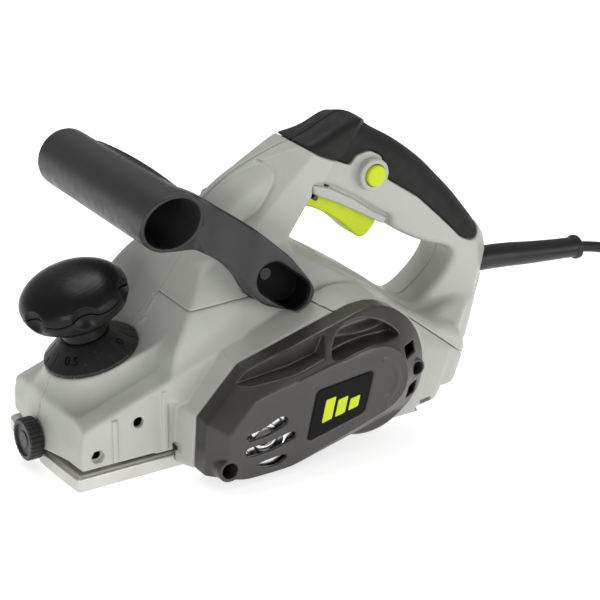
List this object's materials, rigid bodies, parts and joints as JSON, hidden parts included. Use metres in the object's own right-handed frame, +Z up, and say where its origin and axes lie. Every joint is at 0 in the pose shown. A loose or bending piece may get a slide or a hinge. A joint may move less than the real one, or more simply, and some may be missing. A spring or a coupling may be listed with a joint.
{
  "type": "electric hand planer",
  "caption": "Corded electric hand planer with D-handle, depth knob, movable front shoe, belt-driven cutter drum, dust adapter and coiled mains lead.",
  "frame": {"origin": "middle of the rear sole's underside", "axes": "+X from the front shoe to the cord, +Y towards the plain side (belt cover at -Y), +Z up from the sole"},
  "size_m": [0.5358, 0.1978, 0.168],
  "materials": {
    "grey_shell": "satin moulded, light grey-green",
    "cover_plastic": "fine matt texture, dark grey",
    "adapter_plastic": "satin moulded, near black",
    "black_plastic": "satin moulded, black",
    "soft_rubber": "matt overmoulded grip",
    "cord_rubber": "smooth, slightly glossy",
    "lime_plastic": "satin to gloss, yellow-green",
    "shoe_aluminium": "cast, with milled working faces",
    "steel": "zinc-plated or ground",
    "bright_steel": "polished",
    "copper": "turned copper segments",
    "carbon": "dull carbon",
    "label": "smooth dark plate with no lettering"
  },
  "bodies": {
    "housing": {"housing_right": "grey_shell", "housing_left": "grey_shell", "handle_cover_left": "grey_shell", "grip_right": "soft_rubber", "grip_left": "soft_rubber", "switch_body": "black_plastic", "trigger_spring": "steel", "trigger_pin": "steel", "rear_sole": "shoe_aluminium", "rear_sole_screw_1": "steel", "rear_sole_screw_2": "steel", "depth_spring": "steel", "drum_bearing_left": "steel", "drum_bearing_right": "steel", "drum_stub_axle": "steel", "drive_belt": "soft_rubber", "stator": "steel", "motor_bearing_left": "steel", "motor_bearing_right": "steel", "carbon_brush_1": "carbon", "carbon_brush_2": "carbon", "brush_holder": "black_plastic", "belt_cover": "cover_plastic", "cover_screw_1": "steel", "cover_screw_2": "steel", "badge_plate": "label", "dust_adapter": "adapter_plastic", "adapter_screw": "steel", "housing_screw_1": "steel", "housing_screw_2": "steel", "housing_screw_3": "steel", "strain_relief": "cord_rubber", "cord": "cord_rubber", "cord_coil": "cord_rubber", "cord_tie": "black_plastic", "plug": "cord_rubber"},
    "front_shoe": {"front_shoe": "shoe_aluminium"},
    "depth_knob": {"depth_screw": "steel", "depth_dial": "black_plastic", "knob_body": "black_plastic", "knob_cap": "black_plastic"},
    "drum": {"cutter_drum": "shoe_aluminium", "cutter_blade_1": "bright_steel", "cutter_blade_2": "bright_steel", "blade_clamp_1": "steel", "blade_clamp_2": "steel", "clamp_bolt_1": "steel", "clamp_bolt_2": "steel", "clamp_bolt_3": "steel", "clamp_bolt_4": "steel", "drum_pulley": "bright_steel"},
    "rotor": {"motor_shaft": "steel", "armature_core": "steel", "commutator": "copper", "fan": "black_plastic", "motor_pulley": "bright_steel"},
    "trigger": {"trigger": "lime_plastic"},
    "lock_button": {"lock_button": "lime_plastic"},
    "clamp_knob": {"guide_clamp_knob": "black_plastic", "guide_clamp_bolt": "steel"}
  },
  "joints": [
    {"name": "depth_knob_turn", "type": "hinge", "parent": "housing", "child": "depth_knob", "pos_m": [-0.13625, 0, 0.0577], "axis": [-0.2639, 0, 0.9646], "range_deg": [0, 300]},
    {"name": "front_shoe_slide", "type": "slide", "parent": "housing", "child": "front_shoe", "axis": [-0.2639, 0, 0.9646], "range_m": [0, 0.002], "deforming": ["depth_spring"]},
    {"name": "drum_spin", "type": "hinge", "parent": "housing", "child": "drum", "pos_m": [-0.07475, 0, 0.0245], "axis": [0, 1, 0], "continuous": true},
    {"name": "motor_spin", "type": "hinge", "parent": "housing", "child": "rotor", "pos_m": [-0.00525, 0, 0.041], "axis": [0, 1, 0], "continuous": true},
    {"name": "trigger_pull", "type": "hinge", "parent": "housing", "child": "trigger", "pos_m": [-0.00175, 0, 0.1245], "axis": [0, -1, 0], "range_deg": [0, 7], "stiffness_Nm_per_rad": 1.5, "springref_deg": -5.73, "deforming": ["trigger_spring"]},
    {"name": "lock_button_press", "type": "slide", "parent": "housing", "child": "lock_button", "axis": [0, 1, 0], "range_m": [0, 0.003], "stiffness_N_per_m": 400, "springref_m": -0.002},
    {"name": "clamp_knob_turn", "type": "hinge", "parent": "housing", "child": "clamp_knob", "pos_m": [-0.17575, 0, 0.0155], "axis": [-1, 0, 0], "range_deg": [0, 1080]}
  ],
  "couplings": [
    {"joint": "front_shoe_slide", "follows": "depth_knob_turn", "m_per_rad": 0.00038197},
    {"joint": "motor_spin", "follows": "drum_spin", "ratio": 1.5}
  ]
}
